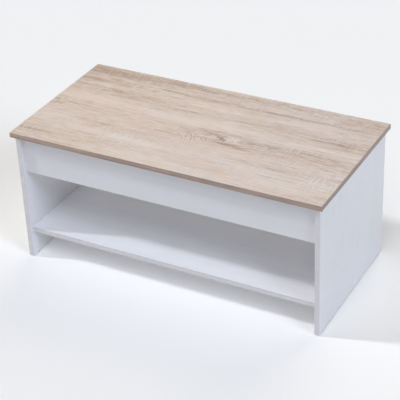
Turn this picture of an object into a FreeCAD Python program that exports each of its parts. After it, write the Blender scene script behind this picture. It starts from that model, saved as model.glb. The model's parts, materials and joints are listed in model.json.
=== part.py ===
import FreeCAD, Part
import math
import os

from FreeCAD import Vector

# Lift top coffee table, in millimetres.
# Origin: on the floor under the middle of the table. +X to the right along the long side,
# +Y to the back, +Z up. The user sits in front of the table, at -Y.
# The table is drawn closed. It opens by swinging the top up and forward on two pairs of arms.

# ---- driving dimensions: boards ----
top_length = 1000.0
top_depth = 500.0
table_height = 440.0
board = 15.0
side_overhang = 10.0
end_overhang = 12.5
apron_recess = 12.0
apron_bottom_z = 302.0
shelf_top_z = 101.5
glide_height = 3.0
closed_gap = 1.5
band = 1.0
band_round = 0.6

# ---- driving dimensions: lift hinges ----
pivot_y = -50.0
pivot_z = 337.0
arm_length = 240.0
closed_angle = 12.0
open_angle = 124.0
pivot_spread = 45.0
pivot_spread_angle = 158.0
main_arm_width = 24.0
link_arm_width = 18.0
bracket_corner = 6.0
plate = 2.0
arm_plate = 3.0
arm_layer = 5.5
top_web_layer = 11.0
spring_layer = 20.0
spring_radius = 7.0
spring_post_y = -190.0
spring_pin_reach = 40.0
rivet_radius = 4.0
rivet_head_radius = 7.5
rivet_head = 1.5
riveted_end = 1.2
running_gap = 0.3
pin_clearance = 0.08

# ---- driving dimensions: fittings ----
dowel_radius = 4.0
dowel_length = 30.0
panel_hole_depth = 11.0
hole_clearance = 0.1
cam_radius = 7.5
cam_depth = 12.0
cam_setback = 34.0
cap_radius = 9.0
cap_thickness = 1.0
cam_slot_length = 8.0
cam_slot_radius = 0.9
bolt_radius = 3.0
bolt_neck_radius = 1.8
bolt_neck = 5.0
bolt_head = 3.0
screw_radius = 2.0
screw_head_radius = 4.0
screw_head = 2.0
screw_length = 12.0
screw_tip = 2.0
screw_tip_radius = 0.4
screw_slot_length = 4.4
screw_slot_radius = 0.5
bumper_radius = 4.0
bumper_height = 1.2
glide_radius = 7.0
glide_seat_depth = 1.8
nail_radius = 1.2
nail_length = 16.0
nail_head = 1.0

# ---- derived sizes ----
case_half_x = top_length / 2 - side_overhang
inner_half_x = case_half_x - board
case_half_y = top_depth / 2 - end_overhang
apron_outer_y = case_half_y - apron_recess
apron_inner_y = apron_outer_y - board
apron_middle_y = apron_outer_y - board / 2
top_under_z = table_height - board
case_top_z = top_under_z - closed_gap
floor_top_z = apron_bottom_z + board
floor_middle_z = apron_bottom_z + board / 2
shelf_bottom_z = shelf_top_z - board
shelf_middle_z = shelf_top_z - board / 2
panel_middle_x = case_half_x - board / 2
fitting_reach = dowel_length - panel_hole_depth

X = Vector(1, 0, 0)
Y = Vector(0, 1, 0)
Z = Vector(0, 0, 1)


# ---- basic shapes ----
def box(x0, x1, y0, y1, z0, z1):
    return Part.makeBox(x1 - x0, y1 - y0, z1 - z0, Vector(x0, y0, z0))


def rod(start, direction, length, radius):
    return Part.makeCylinder(radius, length, start, direction)


def mirrored(shape):
    """The same piece on the other end of the table."""
    return shape.mirror(Vector(0, 0, 0), X)


def swapped_front_to_back(shape):
    return shape.mirror(Vector(0, 0, 0), Y)


def both_ends(shapes):
    return shapes + [mirrored(shape) for shape in shapes]


def cut(shape, tools):
    return shape.cut(tools).Solids[0]


def joined(pieces):
    """Pieces that touch or overlap, made one solid."""
    return pieces[0].fuse(pieces[1:]).removeSplitter().Solids[0]


def polar(origin, distance, angle_deg):
    """A point (y, z) at that distance and angle from origin, the angle counted from +Y towards +Z."""
    angle = math.radians(angle_deg)
    return (origin[0] + distance * math.cos(angle), origin[1] + distance * math.sin(angle))


def at_depth(point, depth):
    """A point (y, z) of the left hinge, that far inboard of the left side panel's inner face."""
    return Vector(-inner_half_x + depth, point[0], point[1])


def plate_from_outline(points, depth, thickness):
    """A flat plate parallel to the side panel, from its corner points (y, z)."""
    corners = [at_depth(point, depth) for point in points]
    outline = Part.makePolygon(corners + [corners[0]])
    return Part.Face(outline).extrude(X * thickness)


def round_corners(plate_shape, radius, chosen):
    """Rounds the plate's corners for which chosen(y, z) is true."""
    edges = []
    for edge in plate_shape.Edges:
        along_x = abs(edge.Vertexes[0].X - edge.Vertexes[1].X) > plate / 2
        if along_x and chosen(edge.Vertexes[0].Y, edge.Vertexes[0].Z):
            edges.append(edge)
    return plate_shape.makeFillet(radius, edges)


# ---- the places of the hinge's pivots, as (y, z) ----
main_base = (pivot_y, pivot_z)
link_base = polar(main_base, pivot_spread, pivot_spread_angle)
main_top = polar(main_base, arm_length, closed_angle)
link_top = polar(link_base, arm_length, closed_angle)
spring_post = (spring_post_y, pivot_z)
spring_pin = polar(main_base, spring_pin_reach, closed_angle)
stop_stud_radius = 4.0
stop_along = polar(link_base, 20.0, open_angle)
stop_place = polar(stop_along, link_arm_width / 2 + stop_stud_radius + running_gap, open_angle + 90)


# ---- fittings ----
def dowel(joint_point, into_board):
    """A wooden dowel across a joint. It starts in the panel and ends in the board."""
    start = joint_point - into_board * panel_hole_depth
    pin = rod(start, into_board, dowel_length, dowel_radius)
    return pin.makeChamfer(0.8, [edge for edge in pin.Edges if edge.Curve.TypeId == "Part::GeomCircle"])


def dowel_hole(joint_point, into_board):
    start = joint_point - into_board * (panel_hole_depth + hole_clearance)
    return rod(start, into_board, dowel_length + 2 * hole_clearance, dowel_radius + hole_clearance)


def cam_bolt(joint_point, into_board):
    """The bolt screwed into the panel, with a neck and a head for the cam disc to pull on."""
    threaded = rod(joint_point - into_board * panel_hole_depth, into_board, panel_hole_depth, bolt_radius)
    stem_length = cam_setback - cam_radius
    stem = rod(joint_point, into_board, stem_length, bolt_radius)
    neck = rod(joint_point + into_board * stem_length, into_board, bolt_neck, bolt_neck_radius)
    head = rod(joint_point + into_board * (stem_length + bolt_neck), into_board, bolt_head, bolt_radius)
    return joined([threaded, stem, neck, head])


def cam_bolt_hole(joint_point, into_board):
    start = joint_point - into_board * (panel_hole_depth + hole_clearance)
    return rod(start, into_board, panel_hole_depth + cam_setback, bolt_radius + hole_clearance)


def cam_centre(joint_point, into_board, outward):
    """The middle of the cam disc's open face, on the board's surface."""
    return joint_point + into_board * cam_setback + outward * (board / 2)


def cam_disc(joint_point, into_board, outward):
    """A cam disc with a radial pocket for the bolt's head and a cross recess for the driver."""
    face = cam_centre(joint_point, into_board, outward)
    disc = rod(face, outward * -1, cam_depth, cam_radius)
    pocket_start = joint_point + into_board * (cam_setback - cam_radius - 1)
    pocket = rod(pocket_start, into_board, cam_radius + 5.0, bolt_radius + 0.6)
    sideways = into_board.cross(outward)
    slots = []
    for direction in (into_board, sideways):
        slot_start = face - direction * (cam_slot_length / 2) - outward
        slots.append(rod(slot_start, direction, cam_slot_length, cam_slot_radius))
    return cut(disc, [pocket] + slots)


def cam_hole(joint_point, into_board, outward):
    face = cam_centre(joint_point, into_board, outward)
    return rod(face, outward * -1, cam_depth + hole_clearance, cam_radius + hole_clearance)


def cam_cap(joint_point, into_board, outward):
    """The thin cover pressed over a cam disc."""
    cap = rod(cam_centre(joint_point, into_board, outward), outward, cap_thickness, cap_radius)
    rims = [edge for edge in cap.Edges if edge.Curve.TypeId == "Part::GeomCircle"]
    outer = max(rims, key=lambda edge: edge.CenterOfMass.dot(outward))
    return cap.makeFillet(0.5, [outer])


def joint_fittings(dowel_places, cam_places, outward):
    """The left end's fittings: every place is a point on the joint between side panel and board."""
    return {
        "dowels": [dowel(place, X) for place in dowel_places],
        "bolts": [cam_bolt(place, X) for place in cam_places],
        "discs": [cam_disc(place, X, outward) for place in cam_places],
        "caps": [cam_cap(place, X, outward) for place in cam_places],
        "end_holes": [dowel_hole(place, X) for place in dowel_places]
        + [cam_bolt_hole(place, X) for place in cam_places],
        "face_holes": [cam_hole(place, X, outward) for place in cam_places],
    }


def end_points(places):
    """Points (y, z) on the left joint face."""
    return [Vector(-inner_half_x, y, z) for y, z in places]


front_apron_fittings = joint_fittings(
    end_points([(-apron_middle_y, apron_bottom_z + 62), (-apron_middle_y, case_top_z - 10)]),
    end_points([(-apron_middle_y, apron_bottom_z + 34), (-apron_middle_y, case_top_z - 30)]),
    Y,
)
floor_fittings = joint_fittings(
    end_points([(-190, floor_middle_z), (0, floor_middle_z), (190, floor_middle_z)]),
    end_points([(-110, floor_middle_z), (110, floor_middle_z)]),
    Z * -1,
)
shelf_fittings = joint_fittings(
    end_points([(-200, shelf_middle_z), (-60, shelf_middle_z), (60, shelf_middle_z), (200, shelf_middle_z)]),
    end_points([(-150, shelf_middle_z), (150, shelf_middle_z)]),
    Z * -1,
)
apron_floor_points = [Vector(x, -apron_inner_y, floor_middle_z) for x in (-300, 0, 300)]
apron_floor_depth = 9.0


def apron_floor_dowel(point):
    start = point - Y * apron_floor_depth
    return rod(start, Y, dowel_length, dowel_radius)


def apron_floor_hole(point):
    start = point - Y * (apron_floor_depth + hole_clearance)
    return rod(start, Y, dowel_length + 2 * hole_clearance, dowel_radius + hole_clearance)


def front_and_back(shapes):
    return shapes + [swapped_front_to_back(shape) for shape in shapes]


# ---- screws of the brackets, as (start, direction) at the left end ----
base_web_screws = [(-170.0, 328.0), (-170.0, 347.0), (-32.0, 348.0), (-128.0, 328.0)]
base_flange_screws = [-150.0, -62.0]
top_flange_screws = [12.0, 60.0, 112.0, 188.0]
base_flange_width = 20.0
top_flange_width = 22.0
base_flange_screw_depth = 13.0
top_flange_screw_depth = top_web_layer + 14.0


def screw(seat, direction):
    """A pan head wood screw. Its head rests on seat and its shank points along direction."""
    head = rod(seat - direction * screw_head, direction, screw_head, screw_head_radius)
    tip_start = seat + direction * (screw_length - screw_tip)
    shank = rod(seat, direction, screw_length - screw_tip, screw_radius)
    tip = Part.makeCone(screw_radius, screw_tip_radius, screw_tip, tip_start, direction)
    recesses = []
    for across in (Y, Z if abs(direction.z) < 0.5 else X):
        start = seat - direction * (screw_head + 0.1) - across * (screw_slot_length / 2)
        recesses.append(rod(start, across, screw_slot_length, screw_slot_radius))
    return cut(joined([head, shank, tip]), recesses)


def screw_hole(seat, direction):
    return rod(seat - direction * 0.1, direction, screw_length + 0.3, screw_radius + hole_clearance)


def base_screw_places():
    into_panel = [(at_depth(place, plate), X * -1) for place in base_web_screws]
    seat_z = floor_top_z + plate
    into_floor = []
    for y in base_flange_screws:
        into_floor.append((at_depth((y, seat_z), base_flange_screw_depth), Z * -1))
    return into_panel + into_floor


def top_screw_places():
    seat_z = top_under_z - plate
    return [(at_depth((y, seat_z), top_flange_screw_depth), Z) for y in top_flange_screws]


base_screw_holes = [screw_hole(*place) for place in base_screw_places()]
top_screw_holes = [screw_hole(*place) for place in top_screw_places()]


# ---- table top ----
def make_table_top():
    half_x = top_length / 2 - band
    half_y = top_depth / 2 - band
    return cut(box(-half_x, half_x, -half_y, half_y, top_under_z, table_height), both_ends(top_screw_holes))


def rounded_strip(x0, x1, y0, y1, z0, z1, outward):
    """An edge band with its two long outer edges rounded. outward points away from the board."""
    strip = box(x0, x1, y0, y1, z0, z1)
    longest = max(edge.Length for edge in strip.Edges)
    outer_edges = []
    for edge in strip.Edges:
        is_outer = (edge.CenterOfMass - strip.CenterOfMass).dot(outward) > band / 4
        if is_outer and abs(edge.Length - longest) < 0.01:
            outer_edges.append(edge)
    return strip.makeFillet(band_round, outer_edges)


def make_top_band_front():
    half_x = top_length / 2
    outer = -top_depth / 2
    return rounded_strip(-half_x, half_x, outer, outer + band, top_under_z, table_height, Y * -1)


def make_top_band_left():
    outer = -top_length / 2
    half_y = top_depth / 2 - band
    return rounded_strip(outer, outer + band, -half_y, half_y, top_under_z, table_height, X * -1)


# ---- boards of the case ----
def panel_tools():
    tools = []
    for fittings in (front_apron_fittings, floor_fittings, shelf_fittings):
        tools += fittings["end_holes"]
    tools += [swapped_front_to_back(tool) for tool in front_apron_fittings["end_holes"]]
    return tools + base_screw_holes + [nail_hole(y) for y in glide_places]


glide_places = [-(case_half_y - 30.0), case_half_y - 30.0]


def nail_hole(y):
    return rod(Vector(-panel_middle_x, y, 0), Z, nail_length + 1.5, nail_radius + hole_clearance)


def make_side_panel_left():
    half_y = case_half_y - band
    low = glide_height + band
    panel = box(-case_half_x, -inner_half_x, -half_y, half_y, low, case_top_z - band)
    return cut(panel, panel_tools())


def make_side_bands_left():
    half_y = case_half_y - band
    x0 = -case_half_x
    x1 = -inner_half_x
    front = rounded_strip(x0, x1, -case_half_y, -half_y, glide_height, case_top_z, Y * -1)
    top = box(x0, x1, -half_y, half_y, case_top_z - band, case_top_z)
    bottom = box(x0, x1, -half_y, half_y, glide_height, glide_height + band)
    bottom = cut(bottom, [nail_hole(y) for y in glide_places])
    return [front, swapped_front_to_back(front), top, bottom]


def make_front_apron():
    low = apron_bottom_z + band
    high = case_top_z - band
    apron = box(-inner_half_x, inner_half_x, -apron_outer_y, -apron_inner_y, low, high)
    holes = front_apron_fittings["end_holes"] + front_apron_fittings["face_holes"]
    return cut(apron, both_ends(holes) + [apron_floor_hole(point) for point in apron_floor_points])


def make_front_apron_bands():
    bands = []
    for low in (apron_bottom_z, case_top_z - band):
        bands.append(box(-inner_half_x, inner_half_x, -apron_outer_y, -apron_inner_y, low, low + band))
    return bands


def make_storage_floor():
    floor = box(-inner_half_x, inner_half_x, -apron_inner_y, apron_inner_y, apron_bottom_z, floor_top_z)
    holes = floor_fittings["end_holes"] + floor_fittings["face_holes"] + base_screw_holes
    apron_holes = [apron_floor_hole(point) for point in apron_floor_points]
    return cut(floor, both_ends(holes) + front_and_back(apron_holes))


def make_lower_shelf():
    half_y = apron_outer_y - band
    shelf = box(-inner_half_x, inner_half_x, -half_y, half_y, shelf_bottom_z, shelf_top_z)
    return cut(shelf, both_ends(shelf_fittings["end_holes"] + shelf_fittings["face_holes"]))


def make_shelf_bands():
    outer = -apron_outer_y
    half_x = inner_half_x
    front = rounded_strip(-half_x, half_x, outer, outer + band, shelf_bottom_z, shelf_top_z, Y * -1)
    return [front, swapped_front_to_back(front)]


def make_lid_bumpers():
    bumpers = []
    for y in (-case_half_y + 25.0, case_half_y - 25.0):
        bumper = rod(Vector(-panel_middle_x, y, case_top_z), Z, bumper_height, bumper_radius)
        bumpers.append(bumper)
    return both_ends(bumpers)


def make_floor_glides():
    glides = []
    for y in glide_places:
        glide = rod(Vector(-panel_middle_x, y, 0), Z, glide_height, glide_radius)
        foot_rim = min(glide.Edges, key=lambda edge: edge.CenterOfMass.z)
        glide = glide.makeFillet(1.2, [foot_rim])
        nail_seat = rod(Vector(-panel_middle_x, y, 0), Z, glide_seat_depth, 2 * nail_radius + hole_clearance)
        glides.append(cut(glide, [nail_seat, nail_hole(y)]))
    return both_ends(glides)


def make_glide_nails():
    nails = []
    for y in glide_places:
        head = rod(Vector(-panel_middle_x, y, glide_seat_depth - nail_head), Z, nail_head, 2 * nail_radius)
        shank = rod(Vector(-panel_middle_x, y, glide_seat_depth), Z, nail_length - nail_head, nail_radius)
        nails.append(joined([head, shank]))
    return both_ends(nails)


# ---- lift hinge, left side ----
def pivot_hole(place, radius, depth, thickness):
    """A hole through a plate, square to it."""
    return rod(at_depth(place, depth - 1), X, thickness + 2, radius)


def arm(start, end, width, extra_holes):
    """A flat steel bar with round ends and rolled edges, from pivot to pivot."""
    length = math.hypot(end[0] - start[0], end[1] - start[1])
    half = width / 2
    lower = Part.LineSegment(Vector(0, -half, 0), Vector(length, -half, 0))
    far_end = Part.Arc(Vector(length, -half, 0), Vector(length + half, 0, 0), Vector(length, half, 0))
    upper = Part.LineSegment(Vector(length, half, 0), Vector(0, half, 0))
    near_end = Part.Arc(Vector(0, half, 0), Vector(-half, 0, 0), Vector(0, -half, 0))
    outline = Part.Wire([curve.toShape() for curve in (lower, far_end, upper, near_end)])
    bar = Part.Face(outline).extrude(Z * arm_plate)
    rolled_edges = []
    for edge in bar.Edges:
        if abs(edge.CenterOfMass.z - arm_plate / 2) > arm_plate / 4:
            rolled_edges.append(edge)
    bar = bar.makeFillet(0.5, rolled_edges)
    slope = FreeCAD.Rotation(Z, math.degrees(math.atan2(end[1] - start[1], end[0] - start[0])))
    on_edge = FreeCAD.Rotation(Y, Z, X, "ZXY")
    bar.Placement = FreeCAD.Placement(at_depth(start, arm_layer), on_edge.multiply(slope))
    holes = [pivot_hole(place, rivet_radius + pin_clearance, arm_layer, arm_plate) for place in (start, end)]
    return cut(bar, holes + extra_holes)


def make_main_arm_left():
    pin_hole = pivot_hole(spring_pin, spring_pin_radius + hole_clearance, arm_layer, arm_plate)
    return arm(main_base, main_top, main_arm_width, [pin_hole])


def make_link_arm_left():
    return arm(link_base, link_top, link_arm_width, [])


def make_base_bracket_left():
    """An angle bracket: its web lies on the side panel and its flange on the storage floor."""
    low = floor_top_z
    web_outline = [
        (spring_post_y - 14, low),
        (pivot_y + 30, low),
        (pivot_y + 30, pivot_z + 18),
        (pivot_y - 8, pivot_z + 22),
        (stop_place[0] + 24, stop_place[1] + 11),
        (stop_place[0] - 10, stop_place[1] + 11),
        (stop_place[0] - 34, pivot_z + 18),
        (spring_post_y - 14, pivot_z + 18),
    ]
    web = plate_from_outline(web_outline, 0, plate)
    web = round_corners(web, bracket_corner, lambda y, z: z > low + 1)
    left = -inner_half_x
    flange = box(left, left + base_flange_width, spring_post_y - 14, pivot_y + 30, low, low + plate)
    bracket = joined([web, flange])
    holes = [pivot_hole(place, rivet_radius + hole_clearance, 0, plate) for place in (main_base, link_base)]
    holes.append(pivot_hole(spring_post, spring_post_radius + hole_clearance, 0, plate))
    holes.append(pivot_hole(stop_place, stop_stud_radius - 1 + hole_clearance, 0, plate))
    return cut(bracket, holes + base_screw_holes)


def make_top_bracket_left():
    """An angle bracket: its flange is screwed under the top and its web carries the two top pivots."""
    rear = main_top[0] + 15
    low = main_top[1] - 15
    web_outline = [
        (0, top_under_z),
        (0, top_under_z - 14),
        (link_top[0] - 40, top_under_z - 20),
        (link_top[0] - 14, link_top[1] - 12),
        (main_top[0] - 18, low),
        (rear, low),
        (rear, top_under_z),
    ]
    web = plate_from_outline(web_outline, top_web_layer, plate)
    web = round_corners(web, bracket_corner, lambda y, z: z < top_under_z - 1)
    left = -inner_half_x + top_web_layer
    flange = box(left, left + top_flange_width, 0, rear, top_under_z - plate, top_under_z)
    bracket = joined([web, flange])
    holes = []
    for place in (main_top, link_top):
        holes.append(pivot_hole(place, rivet_radius + hole_clearance, top_web_layer, plate))
    return cut(bracket, holes + top_screw_holes)


def domed_head(place, depth, thickness, radius, towards_panel):
    """A rivet's head: a disc whose outer rim is rounded."""
    head = rod(at_depth(place, depth), X, thickness, radius)
    rims = [edge for edge in head.Edges if edge.Curve.TypeId == "Part::GeomCircle"]
    pick = min if towards_panel else max
    outer = pick(rims, key=lambda edge: edge.CenterOfMass.x)
    return head.makeFillet(thickness * 0.6, [outer])


def base_rivet(place):
    """Fixed in the base bracket. Its head keeps the arm on from inboard."""
    head_start = arm_layer + arm_plate + running_gap
    shank = rod(at_depth(place, 0), X, head_start + 0.1, rivet_radius)
    head = domed_head(place, head_start, rivet_head, rivet_head_radius, False)
    return joined([shank, head])


def top_rivet(place):
    """Fixed in the top bracket. Its head keeps the arm on from the side panel's side."""
    head_start = arm_layer - running_gap - rivet_head
    tail = top_web_layer + plate
    shank = rod(at_depth(place, arm_layer - running_gap), X, tail - arm_layer + running_gap, rivet_radius)
    head = domed_head(place, head_start, rivet_head, rivet_head_radius, True)
    upset_end = domed_head(place, tail, riveted_end, rivet_head_radius - 2, False)
    return joined([shank, head, upset_end])


def ring(place, start, end, inner, outer):
    disc = rod(at_depth(place, start), X, end - start, outer)
    return cut(disc, [rod(at_depth(place, start - 1), X, end - start + 2, inner)])


def make_base_washers_left():
    end = arm_layer - running_gap
    inner = rivet_radius + hole_clearance
    return [ring(place, plate, end, inner, rivet_head_radius) for place in (main_base, link_base)]


def make_top_washers_left():
    start = arm_layer + arm_plate + running_gap
    inner = rivet_radius + hole_clearance
    return [ring(place, start, top_web_layer, inner, rivet_head_radius) for place in (main_top, link_top)]


def make_stop_stud_left():
    """A shouldered stud that the link arm meets when the top is fully raised."""
    root = rod(at_depth(stop_place, 0), X, plate, stop_stud_radius - 1)
    body = rod(at_depth(stop_place, plate), X, arm_layer + arm_plate, stop_stud_radius)
    return joined([root, body])


# ---- spring and its two pins, left side ----
spring_post_radius = 3.0
spring_pin_radius = 3.0
spring_eye_outer = 6.5
spring_eye_thickness = 3.0
spring_wire_radius = 1.0
pin_end = spring_layer + spring_eye_thickness / 2 + running_gap
pin_end_thickness = 1.5
pin_end_radius = 5.0


def make_spring_post_left():
    shank = rod(at_depth(spring_post, 0), X, pin_end, spring_post_radius)
    collar_end = spring_layer - spring_eye_thickness / 2 - running_gap
    collar = rod(at_depth(spring_post, plate), X, collar_end - plate, spring_post_radius + 1.5)
    cap = domed_head(spring_post, pin_end, pin_end_thickness, pin_end_radius, False)
    return joined([shank, collar, cap])


def make_spring_pin_left():
    tail = domed_head(spring_pin, arm_layer - 1.0, 1.0, pin_end_radius, True)
    shank = rod(at_depth(spring_pin, arm_layer), X, pin_end - arm_layer, spring_pin_radius)
    collar_start = arm_layer + arm_plate
    collar_end = spring_layer - spring_eye_thickness / 2 - running_gap
    collar = rod(at_depth(spring_pin, collar_start), X, collar_end - collar_start, spring_pin_radius + 1.5)
    cap = domed_head(spring_pin, pin_end, pin_end_thickness, pin_end_radius, False)
    return joined([shank, tail, collar, cap])


def make_spring_left():
    """The extension spring as its outer cylinder, with a flat eye at each end."""
    start = at_depth(spring_post, spring_layer)
    end = at_depth(spring_pin, spring_layer)
    along = (end - start).normalize()
    length = (end - start).Length
    end_room = 12.0
    body = rod(start + along * end_room, along, length - 2 * end_room, spring_radius)
    half = spring_eye_thickness / 2
    pieces = [body]
    near = spring_layer - half
    far = spring_layer + half
    neck_start = spring_eye_outer - 1.0
    neck_length = end_room + 2.0 - neck_start
    for place, eye, inward in ((spring_post, start, along), (spring_pin, end, along * -1)):
        pieces.append(rod(eye + inward * neck_start, inward, neck_length, spring_wire_radius))
        pieces.append(ring(place, near, far, spring_post_radius, spring_eye_outer))
    spring = joined(pieces)
    post_hole = pivot_hole(spring_post, spring_post_radius + pin_clearance, near, 2 * half)
    pin_hole = pivot_hole(spring_pin, spring_pin_radius + 2 * running_gap, near, 2 * half)
    return cut(spring, [post_hole, pin_hole])


# ---- all nodes ----
def fittings_of(kind, fittings, on_both_aprons):
    shapes = both_ends(fittings[kind])
    return front_and_back(shapes) if on_both_aprons else shapes


def base_screws():
    return both_ends([screw(*place) for place in base_screw_places()])


def top_screws():
    return both_ends([screw(*place) for place in top_screw_places()])


side_panel_left = make_side_panel_left()
side_bands_left = make_side_bands_left()
front_apron = make_front_apron()
front_apron_bands = make_front_apron_bands()
main_arm_left = make_main_arm_left()
link_arm_left = make_link_arm_left()
base_bracket_left = make_base_bracket_left()
top_bracket_left = make_top_bracket_left()
spring_pin_left = make_spring_pin_left()
spring_left = make_spring_left()
top_band_front = make_top_band_front()
top_band_left = make_top_band_left()
floor_dowels = fittings_of("dowels", floor_fittings, False)
apron_floor_dowels = front_and_back([apron_floor_dowel(point) for point in apron_floor_points])

nodes = {
    "table_top": make_table_top(),
    "top_band_front": top_band_front,
    "top_band_back": swapped_front_to_back(top_band_front),
    "top_band_left": top_band_left,
    "top_band_right": mirrored(top_band_left),
    "top_bracket_left": top_bracket_left,
    "top_bracket_right": mirrored(top_bracket_left),
    "top_bracket_screws": top_screws(),
    "top_pivot_rivets": both_ends([top_rivet(main_top), top_rivet(link_top)]),
    "top_pivot_washers": both_ends(make_top_washers_left()),
    "main_arm_left": main_arm_left,
    "main_arm_right": mirrored(main_arm_left),
    "link_arm_left": link_arm_left,
    "link_arm_right": mirrored(link_arm_left),
    "spring_pin_left": spring_pin_left,
    "spring_pin_right": mirrored(spring_pin_left),
    "spring_left": spring_left,
    "spring_right": mirrored(spring_left),
    "base_bracket_left": base_bracket_left,
    "base_bracket_right": mirrored(base_bracket_left),
    "base_bracket_screws": base_screws(),
    "base_pivot_rivets": both_ends([base_rivet(main_base), base_rivet(link_base)]),
    "base_pivot_washers": both_ends(make_base_washers_left()),
    "spring_posts": both_ends([make_spring_post_left()]),
    "stop_studs": both_ends([make_stop_stud_left()]),
    "side_panel_left": side_panel_left,
    "side_panel_right": mirrored(side_panel_left),
    "side_bands_left": side_bands_left,
    "side_bands_right": [mirrored(strip) for strip in side_bands_left],
    "front_apron": front_apron,
    "back_apron": swapped_front_to_back(front_apron),
    "front_apron_bands": front_apron_bands,
    "back_apron_bands": [swapped_front_to_back(strip) for strip in front_apron_bands],
    "storage_floor": make_storage_floor(),
    "lower_shelf": make_lower_shelf(),
    "shelf_bands": make_shelf_bands(),
    "apron_dowels": fittings_of("dowels", front_apron_fittings, True),
    "apron_cam_bolts": fittings_of("bolts", front_apron_fittings, True),
    "apron_cam_discs": fittings_of("discs", front_apron_fittings, True),
    "apron_cam_caps": fittings_of("caps", front_apron_fittings, True),
    "floor_dowels": floor_dowels + apron_floor_dowels,
    "floor_cam_bolts": fittings_of("bolts", floor_fittings, False),
    "floor_cam_discs": fittings_of("discs", floor_fittings, False),
    "floor_cam_caps": fittings_of("caps", floor_fittings, False),
    "shelf_dowels": fittings_of("dowels", shelf_fittings, False),
    "shelf_cam_bolts": fittings_of("bolts", shelf_fittings, False),
    "shelf_cam_discs": fittings_of("discs", shelf_fittings, False),
    "shelf_cam_caps": fittings_of("caps", shelf_fittings, False),
    "lid_bumpers": make_lid_bumpers(),
    "floor_glides": make_floor_glides(),
    "glide_nails": make_glide_nails(),
}

os.makedirs("parts", exist_ok=True)
for name, made in nodes.items():
    shape = Part.makeCompound(made) if isinstance(made, list) else made
    shape.exportStep("parts/" + name + ".step")
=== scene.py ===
"""Looks of the lift top coffee table: materials, coiled springs, studio and camera.

Everything is in metres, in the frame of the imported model: +X right, +Y back, +Z up.
"""

import json
import math

import bpy
from mathutils import Matrix, Vector


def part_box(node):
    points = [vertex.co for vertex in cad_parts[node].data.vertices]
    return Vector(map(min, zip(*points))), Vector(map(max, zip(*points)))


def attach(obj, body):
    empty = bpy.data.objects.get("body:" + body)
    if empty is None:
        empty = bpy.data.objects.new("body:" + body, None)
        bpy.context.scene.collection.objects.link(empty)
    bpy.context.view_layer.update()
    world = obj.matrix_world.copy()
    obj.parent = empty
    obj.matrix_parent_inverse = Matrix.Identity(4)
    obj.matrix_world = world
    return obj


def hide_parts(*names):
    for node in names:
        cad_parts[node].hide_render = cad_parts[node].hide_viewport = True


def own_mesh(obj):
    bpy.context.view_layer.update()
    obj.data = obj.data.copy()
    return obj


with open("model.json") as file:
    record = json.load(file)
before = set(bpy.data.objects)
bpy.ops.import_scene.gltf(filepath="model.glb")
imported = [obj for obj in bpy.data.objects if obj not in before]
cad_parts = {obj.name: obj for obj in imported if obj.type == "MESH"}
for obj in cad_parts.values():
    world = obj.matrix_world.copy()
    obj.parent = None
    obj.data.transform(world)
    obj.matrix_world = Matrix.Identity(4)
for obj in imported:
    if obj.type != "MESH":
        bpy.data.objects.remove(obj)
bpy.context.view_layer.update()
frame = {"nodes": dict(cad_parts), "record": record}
MM = 0.001


# ---------------------------------------------------------------- shader building

# Distances from a spot's centre, in units of its half size, where it starts to fade and where it ends.
SPOT_CORE = 0.1
SPOT_RIM = 1.35


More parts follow.
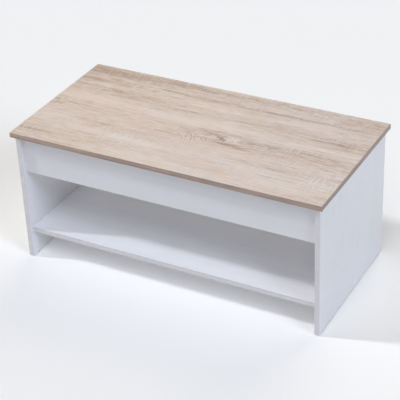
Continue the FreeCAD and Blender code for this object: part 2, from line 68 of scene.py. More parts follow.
class Shader:
    """A node material with short calls for the nodes used here."""

    def __init__(self, name):
        self.material = bpy.data.materials.new(name)
        self.material.use_nodes = True
        self.tree = self.material.node_tree
        self.tree.nodes.clear()
        self.output = self.add("OutputMaterial")
        self.surface = self.add("BsdfPrincipled")
        self.link(self.surface.outputs["BSDF"], self.output.inputs["Surface"])
        self.here = self.add("TexCoord").outputs["Object"]

    def add(self, kind):
        """A new node of the tree."""
        return self.tree.nodes.new("ShaderNode" + kind)

    def link(self, source, target):
        self.tree.links.new(source, target)

    def feed(self, socket, value):
        """Links a socket's output, or sets a number or colour."""
        if isinstance(value, bpy.types.NodeSocket):
            self.link(value, socket)
        elif isinstance(value, (tuple, list)) and len(value) == 3 and socket.type == "RGBA":
            socket.default_value = (*value, 1.0)
        else:
            socket.default_value = value

    def set(self, name, value):
        """Feeds a socket of the surface."""
        self.feed(self.surface.inputs[name], value)

    def math(self, operation, a, b=0.0):
        node = self.add("Math")
        node.operation = operation
        self.feed(node.inputs[0], a)
        self.feed(node.inputs[1], b)
        return node.outputs[0]

    def split(self, where):
        """The three coordinates of a vector."""
        node = self.add("SeparateXYZ")
        self.link(where, node.inputs[0])
        return node.outputs[0], node.outputs[1], node.outputs[2]

    def join(self, x, y, z):
        """A vector from three coordinates."""
        node = self.add("CombineXYZ")
        for socket, value in zip(node.inputs, (x, y, z)):
            self.feed(socket, value)
        return node.outputs[0]

    def total(self, *terms):
        """The sum of value times weight over pairs (value, weight)."""
        value, weight = terms[0]
        result = self.math("MULTIPLY", value, weight)
        for value, weight in terms[1:]:
            node = self.add("Math")
            node.operation = "MULTIPLY_ADD"
            self.feed(node.inputs[0], value)
            self.feed(node.inputs[1], weight)
            self.feed(node.inputs[2], result)
            result = node.outputs[0]
        return result

    def local(self, where, centre, half, turn):
        """Coordinates about a centre, in units of half. Millimetres and degrees, in the XY plane."""
        node = self.add("Mapping")
        node.vector_type = "TEXTURE"
        node.inputs["Location"].default_value = (centre[0] * MM, centre[1] * MM, 0.0)
        node.inputs["Rotation"].default_value = (0.0, 0.0, math.radians(turn))
        node.inputs["Scale"].default_value = (half[0] * MM, half[1] * MM, 1.0)
        self.link(where, node.inputs["Vector"])
        return node.outputs[0]

    def turned(self, where, degrees):
        """Coordinates turned about Z."""
        node = self.add("Mapping")
        node.inputs["Rotation"].default_value = (0.0, 0.0, math.radians(degrees))
        self.link(where, node.inputs["Vector"])
        return node.outputs[0]

    def length(self, where):
        node = self.add("VectorMath")
        node.operation = "LENGTH"
        self.link(where, node.inputs[0])
        return node.outputs["Value"]

    def spot(self, where, centre, half, turn):
        """1 in the middle of an oval, fading to 0 a little outside it."""
        reach = self.length(self.local(where, centre, half, turn))
        return self.ramp(reach, SPOT_CORE, SPOT_RIM, 1.0, 0.0)

    def marks(self, where, rows):
        """The sum of oval marks, each with its own strength."""
        spots = [(self.spot(where, centre, half, turn), strength) for centre, half, turn, strength in rows]
        return self.total(*spots)

    def cells(self, where, scale):
        """A random value from 0 to 1 for each crystal-like cell."""
        node = self.add("TexVoronoi")
        self.link(where, node.inputs["Vector"])
        node.inputs["Scale"].default_value = scale
        grey = self.add("RGBToBW")
        self.link(node.outputs["Color"], grey.inputs[0])
        return grey.outputs[0]

    def noise(self, where, scale, detail=2.0, rough=0.5, warp=0.0):
        """Noise from 0 to 1. scale is in features per metre: one number, or one for each axis."""
        node = self.add("TexNoise")
        if isinstance(scale, tuple):
            stretch = self.add("Mapping")
            stretch.inputs["Scale"].default_value = scale
            self.link(where, stretch.inputs["Vector"])
            where = stretch.outputs[0]
            scale = 1.0
        self.link(where, node.inputs["Vector"])
        node.inputs["Scale"].default_value = scale
        node.inputs["Detail"].default_value = detail
        node.inputs["Roughness"].default_value = rough
        node.inputs["Distortion"].default_value = warp
        return node.outputs["Fac"]

    def ramp(self, value, low, high, to_low=0.0, to_high=1.0, smooth=True):
        """Maps low..high to to_low..to_high, clamped."""
        node = self.add("MapRange")
        node.interpolation_type = "SMOOTHSTEP" if smooth else "LINEAR"
        self.feed(node.inputs["Value"], value)
        node.inputs["From Min"].default_value = low
        node.inputs["From Max"].default_value = high
        node.inputs["To Min"].default_value = to_low
        node.inputs["To Max"].default_value = to_high
        return node.outputs["Result"]

    def swing(self, noise, reach, most):
        """Maps noise from 0.5 - reach .. 0.5 + reach to -most .. most, clamped."""
        return self.ramp(noise, 0.5 - reach, 0.5 + reach, -most, most, smooth=False)

    def mix(self, share, a, b, blend="MIX"):
        """A colour between a and b."""
        node = self.add("Mix")
        node.data_type = "RGBA"
        node.blend_type = blend
        node.clamp_factor = True
        self.feed(node.inputs["Factor"], share)
        self.feed(node.inputs[6], a)
        self.feed(node.inputs[7], b)
        return node.outputs[2]

    def tint(self, colour, by):
        """A colour multiplied by another."""
        return self.mix(1.0, colour, by, "MULTIPLY")

    def bump(self, height, depth, strength):
        """Raises the surface by height (0 to 1) times depth, in metres."""
        node = self.add("Bump")
        node.inputs["Strength"].default_value = strength
        node.inputs["Distance"].default_value = depth
        self.feed(node.inputs["Height"], height)
        self.link(node.outputs["Normal"], self.surface.inputs["Normal"])


# ---------------------------------------------------------------- materials

# Whites of the side panels and the storage floor, of the aprons (a darker copy: painted shade), of the
# shelf (a paler copy: painted light) and of the edge bands.
WHITE = (0.776, 0.773, 0.806)
WHITE_FRONT_PAINTED_SHADE = (0.698, 0.70, 0.748)
WHITE_SHELF_PAINTED_LIGHT = (0.875, 0.882, 0.918)
WHITE_BAND = (0.65, 0.64, 0.665)
# The oak print from its palest tone to its darkest, and its liming.
LIGHT_OAK = (0.93, 0.815, 0.742)
OAK = (0.812, 0.667, 0.576)
BROWN_OAK = (0.505, 0.375, 0.295)
DARK_OAK = (0.27, 0.195, 0.15)
LIMED = (0.90, 0.868, 0.87)

TARNISH = (0.45, 0.42, 0.38)

# Features per metre along X, Y and Z in the streaks of a white board.
ALONG_X = (3.5, 90.0, 90.0)
UPRIGHT = (90.0, 90.0, 3.5)

# The oak print's layers, in features per metre along X, Y and Z.
WANDER = (1.6, 5.0, 1.0)
BANDS = (0.7, 17.0, 1.0)
STREAKS = (4.6, 95.0, 1.0)
WISPS = (22.0, 240.0, 1.0)
FIBRES = (16.0, 620.0, 1.0)
BREAKS = (7.0, 210.0, 1.0)
BLUSH = (2.2, 11.0, 1.0)
CURLS = (36.0, 250.0, 1.0)
PORES = (70.0, 2300.0, 1.0)
PORE_ROWS = (2.0, 60.0, 1.0)
SAW_LINES = (190.0, 24.0, 1.0)
SAWN_PATCHES = (5.0, 16.0, 1.0)
WHITE_LINES = (12.0, 330.0, 1.0)
HUE_PATCHES = (2.5, 9.0, 1.0)
# Darkness of the print where nothing adds to it.
MIDDLE_TONE = 0.46

# Edge strip, from its palest streaks to its darkest.
BAND_TONES = ((0.475, 0.365, 0.31), (0.335, 0.245, 0.20), (0.185, 0.13, 0.105))
# The strip darkens over its bottom 5 mm above the top's underside: partly a glue line, partly painted
# shade.
TOP_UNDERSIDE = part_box("table_top")[0].z
ARRIS_GLUE_AND_SHADE = 5.0 * MM

# Ovals of the oak print are in millimetres and degrees: centre, half size and turn.
# The knot is a dark slanting eye with a pale lens of curly grain beside it and arcs round both.
KNOT_Y = -28
PARTED = ((84, KNOT_Y), (120, 42), 0)
EYE = ((86, -27), (30, 8), -34)
LENS = ((124, -23), (34, 17), -8)
CURLY_PATCH = ((4, -58), (58, 24), 0)
ARCS = ((84, -30), (100, 26), 0)
CURL_TURN = 58
SAW_TURN = 4

# Streaks of the print, each with its darkness as well.
BACK_MARKS = (
    ((-370, 155), (190, 11), 0, 0.36),
    ((-180, 171), (350, 8), 0, 0.28),
    ((230, 172), (270, 8), 0, 0.44),
    ((-420, 117), (95, 7), 0, 0.24),
    ((-330, 92), (190, 34), 0, 0.16),
    ((-85, 79), (110, 3.5), 0, 0.43),
    ((-110, 67), (80, 3), 0, 0.19),
    ((105, 87), (85, 5), 2, 0.17),
    ((390, 72), (140, 9), 0, 0.28),
    ((425, 46), (75, 5), 0, 0.17),
    ((-20, 130), (130, 20), 0, -0.26),
    ((270, 132), (210, 16), 0, -0.12),
    ((-390, 218), (130, 20), 0, 0.14),
)
MIDDLE_MARKS = (
    ((-100, 36), (520, 16), 0, -0.26),
    ((-40, 18), (150, 9), 0, -0.20),
    ((390, 24), (140, 9), 0, -0.34),
    ((-487, -8), (17, 5), 0, 0.68),
    ((-415, -10), (62, 5), 2, 0.29),
    ((-470, -26), (34, 5), 12, 0.24),
    ((-50, -14), (62, 3.5), 0, 0.20),
    ((36, -8), (36, 3), -12, 0.26),
    ((205, -17), (72, 6), 0, 0.40),
    ((390, -13), (130, 4), 0, 0.19),
    ((130, -52), (62, 8), -6, 0.44),
    ((250, -66), (110, 4), 0, 0.14),
)
FRONT_MARKS = (
    ((-80, -56), (62, 4), -3, 0.24),
    ((-230, -84), (175, 6), 0, 0.19),
    ((-135, -95), (80, 4), 0, 0.29),
    ((-140, -143), (140, 15), 0, -0.36),
    ((-325, -132), (120, 15), -3, -0.26),
    ((-420, -102), (90, 13), 0, -0.28),
    ((110, -140), (160, 9), 0, -0.18),
    ((-300, -160), (75, 4), -4, 0.29),
    ((325, -169), (105, 3.5), 0, 0.33),
    ((362, -150), (65, 3), 0, 0.17),
    ((-440, -200), (80, 9), 0, 0.32),
    ((200, -100), (260, 16), 0, -0.10),
)
# Wide soft clouds of darker and paler print, each with its darkness.
CLOUDS = (
    ((-400, 224), (260, 62), 0, 0.26),
    ((-130, 226), (200, 54), 0, 0.19),
    ((120, 228), (170, 44), 0, 0.06),
    ((420, 228), (230, 52), 0, 0.20),
    ((-490, 130), (70, 60), 0, 0.22),
    ((60, 128), (120, 50), 0, -0.14),
    ((460, 110), (130, 60), 0, 0.16),
    ((-400, 48), (170, 44), 0, -0.30),
    ((60, 58), (120, 40), 0, -0.16),
    ((400, 20), (190, 80), 0, 0.06),
    ((-150, -20), (170, 60), 0, -0.16),
    ((110, -110), (170, 50), 0, -0.12),
    ((90, -214), (330, 66), 0, -0.26),
    ((400, -218), (200, 60), 0, -0.20),
)
# Places with more saw marks, each with its strength.
SAWN_MARKS = (
    ((-130, -143), (140, 40), 0, 1.3),
    ((455, -130), (70, 70), 0, 0.9),
    ((-360, -120), (130, 40), 0, 0.8),
)


def white_board(name, colour=WHITE, roughness=0.42, run=ALONG_X):
    """Melamine-faced board: near-white, finely pearled, with faint streaks running along it."""
    shader = Shader(name)
    cloud = shader.noise(shader.here, 7.0, 3.0)
    streak = shader.noise(shader.here, run, 3.0, 0.6)
    speck = shader.noise(shader.here, 420.0, 2.0, 0.6)
    darker = tuple(0.958 * channel for channel in colour)
    tone = shader.total((cloud, 0.35), (streak, 0.45), (speck, 0.20))
    shader.set("Base Color", shader.mix(shader.ramp(tone, 0.38, 0.62), darker, colour))
    rub = shader.noise(shader.here, (26.0, 26.0, 52.0), 4.0, 0.65)
    shader.set("Roughness", shader.ramp(rub, 0.3, 0.7, roughness - 0.06, roughness + 0.08))
    shader.set("Specular IOR Level", 0.45)
    pearl = shader.noise(shader.here, 1300.0, 2.0, 0.6)
    peel = shader.noise(shader.here, 160.0, 1.0, 0.5)
    shader.bump(shader.total((pearl, 0.6), (peel, 0.4)), 0.05 * MM, 0.4)
    return shader.material


def oak_tones(shader, tone, limed):
    """Colour of the oak print from its darkness (about 0 to 1) and its liming (0 to 1)."""
    colour = shader.mix(shader.ramp(tone, 0.0, 0.5, smooth=False), LIGHT_OAK, OAK)
    colour = shader.mix(shader.ramp(tone, 0.5, 1.0, smooth=False), colour, BROWN_OAK)
    colour = shader.mix(shader.ramp(tone, 1.0, 1.7, smooth=False), colour, DARK_OAK)
    return shader.mix(limed, colour, LIMED)


def grain_flow(shader, x, y, flat, wander):
    """Coordinates that follow the grain: it wanders a little and parts round the knot."""
    parted = shader.math("MULTIPLY", shader.spot(flat, *PARTED), 0.72)
    off_knot = shader.math("SUBTRACT", y, KNOT_Y * MM)
    pushed = shader.math("MULTIPLY", off_knot, parted)
    grain_y = shader.total((y, 1.0), (shader.swing(wander, 0.3, 7 * MM), 1.0), (pushed, -1.0))
    return shader.join(x, grain_y, 0.0)


def placed_print(shader, x, y, flow, wander):
    """Streaks at chosen places, broken up by finer streaks of their own, and wide soft clouds."""
    soft_y = shader.math("ADD", y, shader.ramp(wander, 0.2, 0.8, -4 * MM, 4 * MM))
    soft = shader.join(x, soft_y, 0.0)
    streaks = shader.marks(soft, BACK_MARKS + MIDDLE_MARKS + FRONT_MARKS)
    broken = shader.noise(flow, BREAKS, 3.0, 0.6)
    streaks = shader.math("MULTIPLY", streaks, shader.ramp(broken, 0.32, 0.68, 0.5, 1.3))
    return shader.math("ADD", streaks, shader.marks(soft, CLOUDS))


def knot_arcs(shader, flat, streaks):
    """Arcs of grain round the knot, fading outwards."""
    reach = shader.length(shader.local(flat, *ARCS))
    phase = shader.math("MULTIPLY", shader.total((reach, 1.0), (streaks, 1.1)), 21.0)
    return shader.math("MULTIPLY", shader.math("SINE", phase), shader.ramp(reach, 0.5, 1.9, 0.13, 0.0))


def open_pores(shader, flow):
    """Short dashes lying in the grain, gathered into rows."""
    dashes = shader.noise(flow, PORES, 1.0)
    rows = shader.noise(flow, PORE_ROWS)
    return shader.math("MULTIPLY", shader.ramp(dashes, 0.60, 0.70), shader.ramp(rows, 0.38, 0.62))


def saw_marks(shader, flat):
    """Fine lines across the grain, in patches."""
    lines = shader.noise(shader.turned(flat, SAW_TURN), SAW_LINES, 3.0, 0.7)
    patches = shader.ramp(shader.noise(flat, SAWN_PATCHES), 0.42, 0.66, 0.25, 0.8)
    sawn = shader.math("ADD", patches, shader.marks(flat, SAWN_MARKS))
    return shader.math("MULTIPLY", shader.ramp(lines, 0.47, 0.62), sawn)


def oak_print(name):
    """Oak-printed laminate with the grain along X: streaks, a knot, pores and saw marks."""
    shader = Shader(name)
    x, y, _ = shader.split(shader.here)
    flat = shader.join(x, y, 0.0)
    wander = shader.noise(flat, WANDER)
    flow = grain_flow(shader, x, y, flat, wander)
    bands = shader.noise(flow, BANDS)
    streaks = shader.noise(flow, STREAKS, 4.0, 0.66)
    wisps = shader.noise(flow, WISPS, 2.0, 0.6)
    fibres = shader.noise(flow, FIBRES, 3.0, 0.6)
    blush = shader.noise(flow, BLUSH)
    whites = shader.noise(flow, WHITE_LINES, 3.0, 0.65)
    pores = open_pores(shader, flow)
    saw = saw_marks(shader, flat)
    lens = shader.spot(flat, *LENS)
    curly = shader.math("ADD", shader.spot(flat, *CURLY_PATCH), lens)
    curls = shader.noise(shader.turned(flat, CURL_TURN), CURLS, 2.0, 0.6, warp=0.5)
    curl_lines = shader.math("MULTIPLY", curly, shader.ramp(curls, 0.36, 0.62, -0.75, 0.8))
    pale_curls = shader.math("MULTIPLY", curly, shader.ramp(curls, 0.48, 0.64))
    tone = shader.total(
        (shader.swing(bands, 0.25, 0.17), 1.0),
        (shader.swing(streaks, 0.25, 0.24), 1.0),
        (shader.swing(wisps, 0.2, 0.26), 1.0),
        (shader.swing(fibres, 0.2, 0.26), 1.0),
        (placed_print(shader, x, y, flow, wander), 1.0),
        (shader.spot(flat, *EYE), 0.62),
        (lens, -0.40),
        (curl_lines, -0.50),
        (knot_arcs(shader, flat, streaks), 1.0),
        (shader.ramp(blush, 0.35, 0.65, -0.05, 0.08), 1.0),
        (MIDDLE_TONE, 1.0),
        (pores, 0.42),
    )
    limed = shader.total((saw, 0.62), (shader.ramp(whites, 0.54, 0.70), 0.38), (pale_curls, 0.42))
    colour = oak_tones(shader, tone, limed)
    # Warmer towards the left end, greyer towards the right.
    hue = shader.total((x, 1.0), (shader.noise(flat, HUE_PATCHES), 0.5))
    warmth = shader.mix(shader.ramp(hue, -0.1, 0.6), (1.0, 0.975, 0.94), (0.955, 0.96, 0.97))
    # Rosy brown clouds between the greyer limed ones.
    rosy = shader.mix(shader.ramp(blush, 0.38, 0.66), (0.995, 1.0, 1.0), (1.0, 0.972, 0.948))
    shader.set("Base Color", shader.tint(shader.tint(colour, warmth), rosy))
    shader.set("Roughness", shader.total((tone, 0.10), (fibres, 0.12), (0.38, 1.0)))
    shader.set("Specular IOR Level", 0.4)
    shader.bump(shader.total((fibres, 0.5), (pores, -0.8), (saw, 0.35)), 0.09 * MM, 0.6)
    return shader.material


def oak_band(name, along_x, shade):
    """Printed edge strip, darker than the top, streaked along its length, darker at its bottom arris:
    partly a glue line, partly painted shade.
    """
    shader = Shader(name)
    run = (5.0, 160.0, 160.0) if along_x else (160.0, 5.0, 160.0)
    fine = (30.0, 900.0, 900.0) if along_x else (900.0, 30.0, 900.0)
    streaks = shader.noise(shader.here, run, 4.0, 0.62)
    fibres = shader.noise(shader.here, fine, 3.0, 0.6)
    patches = shader.noise(shader.here, 9.0, 2.0)
    height = shader.split(shader.here)[2]
    # Darker towards the bottom arris: partly a glue line, partly painted shade.
    arris_glue_and_shade = shader.ramp(height, TOP_UNDERSIDE, TOP_UNDERSIDE + ARRIS_GLUE_AND_SHADE, 0.16, 0.0)
    tone = shader.total((streaks, 0.62), (fibres, 0.26), (patches, 0.30), (arris_glue_and_shade, 1.0))
    # shade below 1 darkens every tone of the strip; on the short end strips that is painted shade.
    pale, brown, dark = ([shade * channel for channel in colour] for colour in BAND_TONES)
    colour = shader.mix(shader.ramp(tone, 0.38, 0.62, smooth=False), pale, brown)
    colour = shader.mix(shader.ramp(tone, 0.62, 0.86, smooth=False), colour, dark)
    shader.set("Base Color", colour)
    shader.set("Roughness", shader.ramp(fibres, 0.3, 0.7, 0.36, 0.50))
    shader.bump(fibres, 0.06 * MM, 0.5)
    return shader.material


def coated_steel(name, colour):
    """Black powder coating: orange peel, fine specks and a few rubbed places."""
    shader = Shader(name)
    peel = shader.noise(shader.here, 520.0, 2.0, 0.55)
    cloud = shader.noise(shader.here, 34.0, 3.0, 0.6)
    rubbed = shader.ramp(shader.noise(shader.here, (60.0, 140.0, 140.0), 5.0, 0.7), 0.66, 0.74)
    lighter = tuple(2.0 * channel for channel in colour)
    coat = shader.mix(cloud, colour, lighter)
    shader.set("Base Color", shader.mix(shader.math("MULTIPLY", rubbed, 0.55), coat, (0.16, 0.16, 0.165)))
    gloss = shader.ramp(cloud, 0.3, 0.7, 0.36, 0.5)
    shader.set("Roughness", shader.total((gloss, 1.0), (rubbed, -0.08)))
    shader.set("Specular IOR Level", 0.5)
    shader.bump(peel, 0.12 * MM, 0.55)
    return shader.material


def bare_metal(name, colour, roughness, lines_per_metre):
    """Bare or plated metal with drawing lines along the axis that has the fewest of them."""
    shader = Shader(name)
    lines = shader.noise(shader.here, lines_per_metre, 3.0, 0.6)
    cloud = shader.noise(shader.here, 150.0, 4.0, 0.6)
    dull = shader.ramp(cloud, 0.52, 0.72, 0.0, 0.45)
    darker = tuple(0.82 * channel for channel in colour)
    shader.set("Base Color", shader.mix(dull, shader.mix(lines, darker, colour), TARNISH))
    shader.set("Metallic", 1.0)
    gloss = shader.ramp(lines, 0.3, 0.7, roughness - 0.05, roughness + 0.07)
    shader.set("Roughness", shader.total((gloss, 1.0), (dull, 0.35)))
    shader.bump(lines, 0.03 * MM, 0.5)
    return shader.material


def spangled_zinc(name, colour, roughness):
    """Zinc with a faint crystal spangle and a slightly yellow bloom."""
    shader = Shader(name)
    spangle = shader.cells(shader.here, 520.0)
    bloom = shader.noise(shader.here, 90.0, 3.0, 0.6)
    yellow = (colour[0], 0.94 * colour[1], 0.76 * colour[2])
    base = shader.mix(shader.ramp(bloom, 0.35, 0.7, 0.0, 0.6), colour, yellow)
    shade = shader.mix(spangle, (0.80, 0.80, 0.80), (1.0, 1.0, 1.0))
    shader.set("Base Color", shader.tint(base, shade))
    shader.set("Metallic", 1.0)
    shader.set("Roughness", shader.total((spangle, 0.14), (bloom, 0.12), (roughness - 0.12, 1.0)))
    shader.bump(shader.noise(shader.here, 900.0, 2.0), 0.03 * MM, 0.5)
    return shader.material


def moulded(name, colour, roughness, grain=700.0, depth=0.05, milky=0.0):
    """Moulded plastic or rubber: spark-eroded grain, scuffs and slight shading."""
    shader = Shader(name)
    cloud = shader.noise(shader.here, 70.0, 3.0)
    scuff = shader.ramp(shader.noise(shader.here, (90.0, 420.0, 200.0), 4.0, 0.7), 0.58, 0.74)
    darker = tuple(0.86 * channel for channel in colour)
    paler = tuple(0.85 * channel + 0.07 for channel in colour)
    clean = shader.mix(cloud, darker, colour)
    shader.set("Base Color", shader.mix(shader.math("MULTIPLY", scuff, 0.5), clean, paler))
    gloss = shader.ramp(cloud, 0.3, 0.7, roughness - 0.06, roughness + 0.06)
    shader.set("Roughness", shader.total((gloss, 1.0), (scuff, 0.12)))
    if milky:
        shader.set("Subsurface Weight", milky)
        shader.set("Subsurface Radius", (0.9, 0.85, 0.75))
        shader.set("Subsurface Scale", 1.0 * MM)
    shader.bump(shader.noise(shader.here, grain, 2.0, 0.6), depth * MM, 0.5)
    return shader.material


def beech(name):
    """Turned beech with its short brown flecks along X."""
    shader = Shader(name)
    rings = shader.noise(shader.here, (14.0, 260.0, 260.0))
    flecks = shader.ramp(shader.noise(shader.here, (210.0, 1300.0, 1300.0), 1.0), 0.58, 0.68)
    colour = shader.mix(rings, (0.52, 0.36, 0.235), (0.70, 0.53, 0.37))
    shader.set("Base Color", shader.mix(shader.math("MULTIPLY", flecks, 0.55), colour, (0.30, 0.18, 0.10)))
    shader.set("Roughness", shader.ramp(rings, 0.3, 0.7, 0.58, 0.72))
    shader.bump(shader.total((rings, 0.6), (flecks, -0.6)), 0.08 * MM, 0.6)
    return shader.material


materials = {
    "oak_laminate": oak_print("oak_laminate"),
    "top_edge_band": oak_band("top_edge_band_long", True, 1.0),
    "white_melamine": white_board("white_melamine"),
    "white_edge_band": white_board("white_edge_band", WHITE_BAND, 0.38),
    "hinge_steel": coated_steel("hinge_steel", (0.020, 0.020, 0.021)),
    "pivot_steel": bare_metal("pivot_steel", (0.68, 0.67, 0.65), 0.26, (900.0, 160.0, 160.0)),
    "spring_steel": bare_metal("spring_steel", (0.64, 0.64, 0.63), 0.24, (260.0, 700.0, 260.0)),
    "zinc_fastener": spangled_zinc("zinc_fastener", (0.72, 0.71, 0.68), 0.32),
    "cam_zinc": spangled_zinc("cam_zinc", (0.60, 0.60, 0.60), 0.48),
    "nylon_washer": moulded("nylon_washer", (0.80, 0.79, 0.74), 0.42, 900.0, 0.03, 0.25),
    "dowel_wood": beech("dowel_wood"),
    "white_cap": moulded("white_cap", (0.80, 0.80, 0.81), 0.36, 900.0, 0.03, 0.1),
    "bumper_rubber": moulded("bumper_rubber", (0.055, 0.055, 0.057), 0.68),
    "glide_plastic": moulded("glide_plastic", (0.040, 0.040, 0.042), 0.50),
}
panel_board = white_board("white_melamine_panel", WHITE, run=UPRIGHT)
# The aprons' board is the white board darkened: painted shade.
front_board_painted_shade = white_board("white_melamine_front_painted_shade", WHITE_FRONT_PAINTED_SHADE)
# The shelf's board is the white board made paler: painted light.
shelf_board_painted_light = white_board("white_melamine_shelf_painted_light", WHITE_SHELF_PAINTED_LIGHT)
# The short end strips are the long strip's print at 0.90: painted shade.
end_band_painted_shade = oak_band("top_edge_band_short_painted_shade", False, 0.90)
# Nodes that look a little different from the rest of their material slot: upright streaks on the side
# panels, painted shade on the aprons and the short end strips, painted light on the shelf.
own_looks = {
    "side_panel_left": panel_board,
    "side_panel_right": panel_board,
    "front_apron": front_board_painted_shade,
    "back_apron": front_board_painted_shade,
    "lower_shelf": shelf_board_painted_light,
    "top_band_left": end_band_painted_shade,
    "top_band_right": end_band_painted_shade,
}

for row in frame["record"]["subparts"]:
    node = frame["nodes"][row["node"]]
    node.data.materials.clear()
    node.data.materials.append(own_looks.get(row["node"], materials[row["material_slot"]]))


# ---------------------------------------------------------------- coiled springs

WIRE = 1.0 * MM
COIL_OUTSIDE = 7.0 * MM
HOOK_RADIUS = 4.6 * MM
# Distance from the centre of a hook to the coil's first turn.
COIL_START = 10.5 * MM
TURNS = 47
# Turns over which the wire runs out from the spring's axis to the coil.
RUN_OUT = 0.7
STEPS_PER_TURN = 20
HOOK_STEPS = 40
WIRE_SIDES = 9


def smooth_step(t):
    """Rises from 0 to 1 as t does, level at both ends."""
    t = min(1.0, max(0.0, t))
    return t * t * (3.0 - 2.0 * t)


def wire(name, points, radius, closed=False):
    """A round wire along points, capped unless it is a closed loop."""
    count = len(points)
    vertices = []
    side = None
    for i, point in enumerate(points):
        before = points[i - 1] if closed or i > 0 else point
        after = points[(i + 1) % count] if closed or i < count - 1 else point
        along = (after - before).normalized()
        if side is None:
            side = along.orthogonal()
        side = (side - along * side.dot(along)).normalized()
        other = along.cross(side)
        for k in range(WIRE_SIDES):
            angle = 2.0 * math.pi * k / WIRE_SIDES
            vertices.append(point + radius * (math.cos(angle) * side + math.sin(angle) * other))
    faces = []
    for i in range(count if closed else count - 1):
        a = i * WIRE_SIDES
        b = ((i + 1) % count) * WIRE_SIDES
        for k in range(WIRE_SIDES):
            n = (k + 1) % WIRE_SIDES
            faces.append((a + k, a + n, b + n, b + k))
    if not closed:
        faces.append(tuple(reversed(range(WIRE_SIDES))))
        faces.append(tuple(range((count - 1) * WIRE_SIDES, count * WIRE_SIDES)))
    mesh = bpy.data.meshes.new(name)
    mesh.from_pydata(vertices, [], faces)
    mesh.polygons.foreach_set("use_smooth", [True] * len(mesh.polygons))
    mesh.materials.append(materials["spring_steel"])
    piece = bpy.data.objects.new(name, mesh)
    bpy.context.scene.collection.objects.link(piece)
    return piece


def middle(node):
    """The centre of a node's box."""
    low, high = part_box(node)
    return (low + high) / 2


def make_spring(side):
    """An extension spring hooked between its post on the case and its pin on the main arm."""
    x = middle("spring_" + side).x
    post, pin = (Vector((x, *middle(node).yz)) for node in ("spring_posts", "spring_pin_" + side))
    along = (pin - post).normalized()
    reach = (pin - post).length
    across = Vector((1, 0, 0))
    upward = along.cross(across)
    coil_length = reach - 2 * COIL_START
    coil_radius = COIL_OUTSIDE - WIRE
    half_way = (HOOK_RADIUS + COIL_START) / 2
    path = [post + along * HOOK_RADIUS, post + along * half_way]
    for i in range(TURNS * STEPS_PER_TURN + 1):
        turn = i / STEPS_PER_TURN
        radius = coil_radius * smooth_step(min(turn, TURNS - turn) / RUN_OUT)
        angle = 2.0 * math.pi * turn
        centre = post + along * (COIL_START + coil_length * turn / TURNS)
        path.append(centre + radius * (math.cos(angle) * across + math.sin(angle) * upward))
    path += [pin - along * half_way, pin - along * HOOK_RADIUS]
    coil = wire("spring_coil_" + side, path, WIRE)
    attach(coil, "spring_" + side)
    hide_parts("spring_" + side)
    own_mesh(coil)
    for end, centre, body in (("post", post, "spring_" + side), ("pin", pin, "main_arm_" + side)):
        ring = []
        for i in range(HOOK_STEPS):
            angle = 2.0 * math.pi * i / HOOK_STEPS
            ring.append(centre + HOOK_RADIUS * (math.cos(angle) * along + math.sin(angle) * upward))
        hook = wire("spring_hook_" + end + "_" + side, ring, WIRE, closed=True)
        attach(hook, body)


for side in ("left", "right"):
    make_spring(side)


# ---------------------------------------------------------------- studio

FLOOR_GLOW = 0.09
# The floor's outer radius, the radius of its bend up into the backdrop, and the facets of both.
SWEEP_RADIUS = 16.0
SWEEP_BEND = 3.0
BEND_STEPS = 16
SWEEP_SIDES = 96

# Distant lamps: name, azimuth and elevation in degrees, spread in degrees, colour, strength.
# Azimuth 0 is in front of the table and 90 to its right, and spread softens a lamp's shadows.
LAMPS = (
    ("left_key", -74, 36, 5, (0.925, 0.945, 0.99), 1.38),
    ("right_key", 70, 36, 24, (0.73, 0.83, 1.0), 1.24),
    ("front_fill", 10, 51, 36, (1.0, 0.99, 0.98), 0.63),
    ("overhead", 8, 72, 14, (1.0, 0.88, 0.78), 0.20),
    ("back_fill", 180, 43, 40, (1.0, 0.95, 0.80), 0.74),
)


def floor_material():
    """Matt near-white paint that glows a little, so that shadows on it stay light."""
    shader = Shader("studio_floor")
    cloud = shader.noise(shader.here, 0.8, 2.0)
    shader.set("Base Color", shader.mix(cloud, (0.93, 0.93, 0.93), (0.95, 0.95, 0.95)))
    shader.set("Roughness", 0.9)
    shader.set("Specular IOR Level", 0.1)
    shader.set("Emission Color", (1.0, 1.0, 1.0))
    shader.set("Emission Strength", FLOOR_GLOW)
    return shader.material


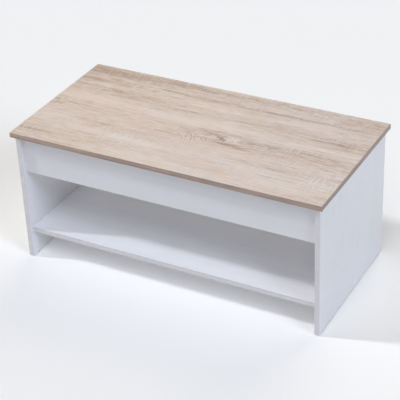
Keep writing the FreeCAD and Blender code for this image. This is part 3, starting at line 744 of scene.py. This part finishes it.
def make_floor():
    """A round pale floor that bends up into a backdrop far behind the table on every side."""
    flat_radius = SWEEP_RADIUS - SWEEP_BEND
    profile = [(flat_radius, 0.0)]
    for i in range(1, BEND_STEPS + 1):
        angle = math.pi / 2 * i / BEND_STEPS
        profile.append((flat_radius + SWEEP_BEND * math.sin(angle), SWEEP_BEND * (1.0 - math.cos(angle))))
    vertices = [(0.0, 0.0, 0.0)]
    for radius, height in profile:
        for k in range(SWEEP_SIDES):
            angle = 2.0 * math.pi * k / SWEEP_SIDES
            vertices.append((radius * math.cos(angle), radius * math.sin(angle), height))
    faces = [(0, 1 + k, 1 + (k + 1) % SWEEP_SIDES) for k in range(SWEEP_SIDES)]
    for ring in range(BEND_STEPS):
        a = 1 + ring * SWEEP_SIDES
        b = a + SWEEP_SIDES
        for k in range(SWEEP_SIDES):
            n = (k + 1) % SWEEP_SIDES
            faces.append((a + k, b + k, b + n, a + n))
    mesh = bpy.data.meshes.new("studio_floor")
    mesh.from_pydata(vertices, [], faces)
    mesh.polygons.foreach_set("use_smooth", [True] * len(mesh.polygons))
    mesh.materials.append(floor_material())
    floor = bpy.data.objects.new("studio_floor", mesh)
    bpy.context.scene.collection.objects.link(floor)


def make_world(colour, strength):
    """Even faint light from all round."""
    world = bpy.data.worlds.new("studio_world")
    world.use_nodes = True
    background = world.node_tree.nodes["Background"]
    background.inputs["Color"].default_value = (*colour, 1.0)
    background.inputs["Strength"].default_value = strength
    bpy.context.scene.world = world


def soft_light(name, azimuth, elevation, spread, colour, strength):
    """A distant lamp, as the table of lamps describes it."""
    a = math.radians(azimuth)
    e = math.radians(elevation)
    towards = Vector((math.sin(a) * math.cos(e), -math.cos(a) * math.cos(e), math.sin(e)))
    lamp = bpy.data.lights.new(name, "SUN")
    lamp.angle = math.radians(spread)
    lamp.color = colour
    lamp.energy = strength
    light = bpy.data.objects.new(name, lamp)
    light.rotation_mode = "QUATERNION"
    light.rotation_quaternion = towards.to_track_quat("Z", "Y")
    bpy.context.scene.collection.objects.link(light)


def make_camera():
    """The camera, aimed past the middle of the table."""
    azimuth = math.radians(29.27)
    elevation = math.radians(31.70)
    roll = math.radians(-2.61)
    distance = 4.219
    aim = Vector((-0.049, 0.074, 0.139))
    back = Vector((
        math.sin(azimuth) * math.cos(elevation),
        -math.cos(azimuth) * math.cos(elevation),
        math.sin(elevation),
    ))
    level_right = (-back).cross(Vector((0, 0, 1))).normalized()
    level_up = back.cross(level_right)
    right = math.cos(roll) * level_right + math.sin(roll) * level_up
    up = math.cos(roll) * level_up - math.sin(roll) * level_right
    data = bpy.data.cameras.new("camera")
    # In millimetres, as Blender takes them.
    data.sensor_width = 36.0
    data.lens = 122.5
    camera = bpy.data.objects.new("camera", data)
    turned = Matrix((right, up, back)).transposed().to_4x4()
    camera.matrix_world = Matrix.Translation(aim + back * distance) @ turned
    bpy.context.scene.collection.objects.link(camera)
    bpy.context.scene.camera = camera


make_floor()
make_world((1.0, 1.0, 0.97), 0.02)
for lamp in LAMPS:
    soft_light(*lamp)
make_camera()
bpy.context.scene.view_settings.view_transform = "Standard"
